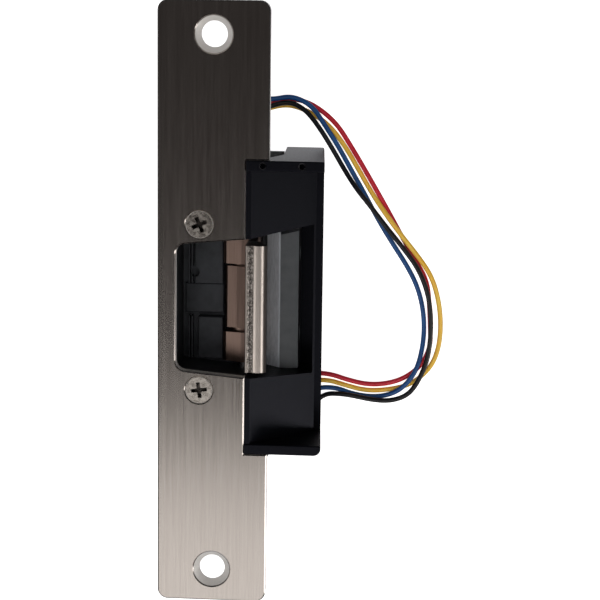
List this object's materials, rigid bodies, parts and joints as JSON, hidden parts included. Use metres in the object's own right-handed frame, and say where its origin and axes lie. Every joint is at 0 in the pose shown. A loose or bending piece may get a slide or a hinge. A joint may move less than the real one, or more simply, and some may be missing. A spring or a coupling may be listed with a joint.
{
  "type": "electric door strike",
  "caption": "Electric door strike: long brushed faceplate with a latch window, black lip hood, sprung swinging keeper with solenoid lock, and loose low-voltage leads.",
  "frame": {"origin": "centre of the two jamb-screw holes, on the faceplate's rear seating face", "axes": "+Z is the faceplate's outward normal, +Y runs along the faceplate, +X points to the lip side, where the door swings"},
  "size_m": [0.0819, 0.1746, 0.0406],
  "materials": {
    "plate_steel": "brushed along its length",
    "hood_black": "satin black",
    "housing_zinc": "as-cast zinc",
    "saddle_zinc": "as-cast zinc, blue-grey",
    "cover_steel": "zinc plated sheet",
    "screw_steel": "polished",
    "keeper_steel": "nickel plated, worn",
    "pin_steel": "ground",
    "bush_bronze": "sintered bronze",
    "spring_steel": "drawn wire",
    "lock_steel": "plated sheet",
    "coil_copper": "enamelled wire",
    "coil_tape": "polyester tape",
    "bobbin_nylon": "moulded",
    "board": "glass epoxy",
    "grommet_rubber": "moulded",
    "pvc_blue": "satin",
    "pvc_red": "satin",
    "pvc_yellow": "satin",
    "pvc_black": "satin",
    "tinned_copper": "tinned strands"
  },
  "bodies": {
    "housing": {"faceplate": "plate_steel", "body_screws": "screw_steel", "trim_hood": "hood_black", "roll_pins": "pin_steel", "body_housing": "housing_zinc", "back_cover": "cover_steel", "cover_screws": "screw_steel", "saddle": "saddle_zinc", "saddle_screws": "screw_steel", "keeper_pin": "pin_steel", "keeper_spring": "spring_steel", "lever_pin": "pin_steel", "plunger_spring": "spring_steel", "solenoid_frame": "lock_steel", "solenoid_screws": "screw_steel", "solenoid_core": "lock_steel", "coil_bobbin": "bobbin_nylon", "coil_winding": "coil_copper", "coil_tape": "coil_tape", "terminal_board": "board", "coil_tails": "pvc_black", "lead_grommet": "grommet_rubber", "lead_blue": "pvc_blue", "tip_blue": "tinned_copper", "lead_red": "pvc_red", "tip_red": "tinned_copper", "lead_yellow": "pvc_yellow", "tip_yellow": "tinned_copper", "lead_black": "pvc_black", "tip_black": "tinned_copper"},
    "keeper": {"keeper": "keeper_steel", "keeper_bushes": "bush_bronze"},
    "lever": {"locking_lever": "lock_steel"},
    "plunger": {"plunger": "lock_steel", "plunger_pin": "pin_steel"}
  },
  "joints": [
    {"name": "keeper_swing", "type": "hinge", "parent": "housing", "child": "keeper", "pos_m": [0.0075, 0, -0.0145], "axis": [0, 1, 0], "range_deg": [0, 66], "stiffness_Nm_per_rad": 0.02, "deforming": ["keeper_spring"]},
    {"name": "plunger_slide", "type": "slide", "parent": "housing", "child": "plunger", "axis": [0, 1, 0], "range_m": [0, 0.0022], "stiffness_N_per_m": 300, "deforming": ["plunger_spring"]},
    {"name": "lever_swing", "type": "hinge", "parent": "housing", "child": "lever", "pos_m": [0.0065, 0.006, -0.0334], "axis": [-1, 0, 0], "range_deg": [0, 23.85]}
  ],
  "couplings": [
    {"joint": "lever_swing", "follows": "plunger_slide", "rad_per_m": 188.41}
  ]
}
